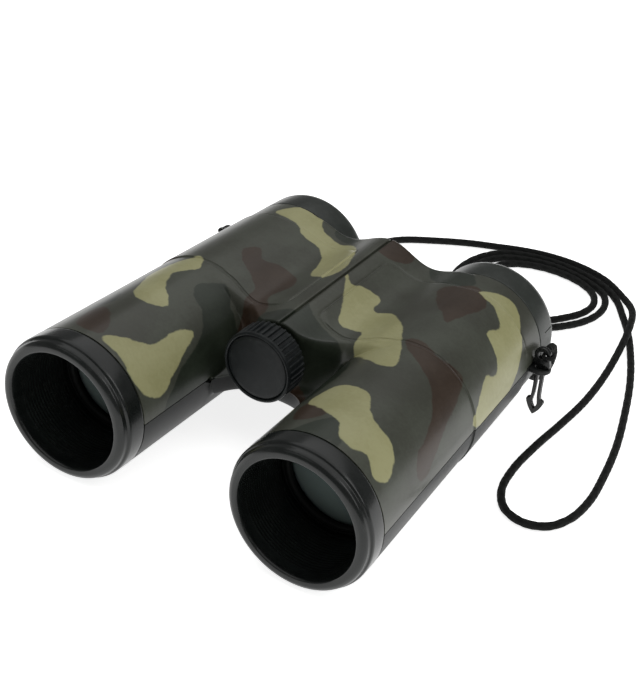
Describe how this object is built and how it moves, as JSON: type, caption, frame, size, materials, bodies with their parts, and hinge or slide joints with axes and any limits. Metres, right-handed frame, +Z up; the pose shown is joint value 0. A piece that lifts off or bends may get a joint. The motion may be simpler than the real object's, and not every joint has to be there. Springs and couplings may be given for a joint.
{
  "type": "toy binoculars",
  "caption": "Rigid twin-barrel toy binoculars with camouflage top shell, black rings, centre focus wheel and a neck cord on two push-in clips.",
  "frame": {"origin": "centre of the binoculars' box on the ground under the two barrels, without the neck cord", "axes": "+Y from the objective lenses towards the eyes, +Z up, +X to the user's left; the parts left and right of X = 0 mirror each other"},
  "size_m": [0.1547, 0.2162, 0.046],
  "materials": {
    "camouflage_shell": "camouflage print under a satin lacquer: grey-green, olive black, brown and tan",
    "black_shell": "satin moulded",
    "black_ring": "satin, polished lips",
    "black_inner": "matt moulded",
    "wheel": "satin, ribbed rim",
    "lens": "polished clear plastic",
    "steel": "zinc-plated",
    "clip": "glossy",
    "cord": "braided"
  },
  "bodies": {
    "body": {"top_shell": "camouflage_shell", "bottom_shell": "black_shell", "body_screw_1": "steel", "body_screw_2": "steel", "body_screw_3": "steel", "body_screw_4": "steel", "left_objective_ring": "black_ring", "right_objective_ring": "black_ring", "left_rear_cap": "black_ring", "right_rear_cap": "black_ring", "left_eyepiece_cell": "black_inner", "right_eyepiece_cell": "black_inner", "left_eyepiece_lens": "lens", "right_eyepiece_lens": "lens", "left_eyepiece_retainer": "black_inner", "right_eyepiece_retainer": "black_inner", "neck_cord": "cord"},
    "focus": {"focus_wheel": "wheel", "wheel_cap": "wheel", "wheel_screw": "steel", "focus_spindle": "steel", "spindle_collar": "black_inner"},
    "carriage": {"lens_carriage": "black_inner", "left_objective_lens": "lens", "right_objective_lens": "lens", "left_objective_retainer": "black_inner", "right_objective_retainer": "black_inner"},
    "left_clip": {"left_cord_clip": "clip", "left_cord_knot": "cord"},
    "right_clip": {"right_cord_clip": "clip", "right_cord_knot": "cord"}
  },
  "joints": [
    {"name": "focus_turn", "type": "hinge", "parent": "body", "child": "focus", "pos_m": [0, 0, 0.03453], "axis": [0, 1, 0], "range_deg": [-180, 180]},
    {"name": "carriage_slide", "type": "slide", "parent": "body", "child": "carriage", "axis": [0, 1, 0], "range_m": [-0.003, 0.003]},
    {"name": "left_clip_swivel", "type": "hinge", "parent": "body", "child": "left_clip", "pos_m": [0.0593, 0.0464, 0.0233], "axis": [0, 0, 1], "range_deg": [-25, 25]},
    {"name": "right_clip_swivel", "type": "hinge", "parent": "body", "child": "right_clip", "pos_m": [-0.0593, 0.0464, 0.0233], "axis": [0, 0, 1], "range_deg": [-25, 25]}
  ],
  "couplings": [
    {"joint": "focus_turn", "follows": "carriage_slide", "rad_per_m": 1047}
  ]
}
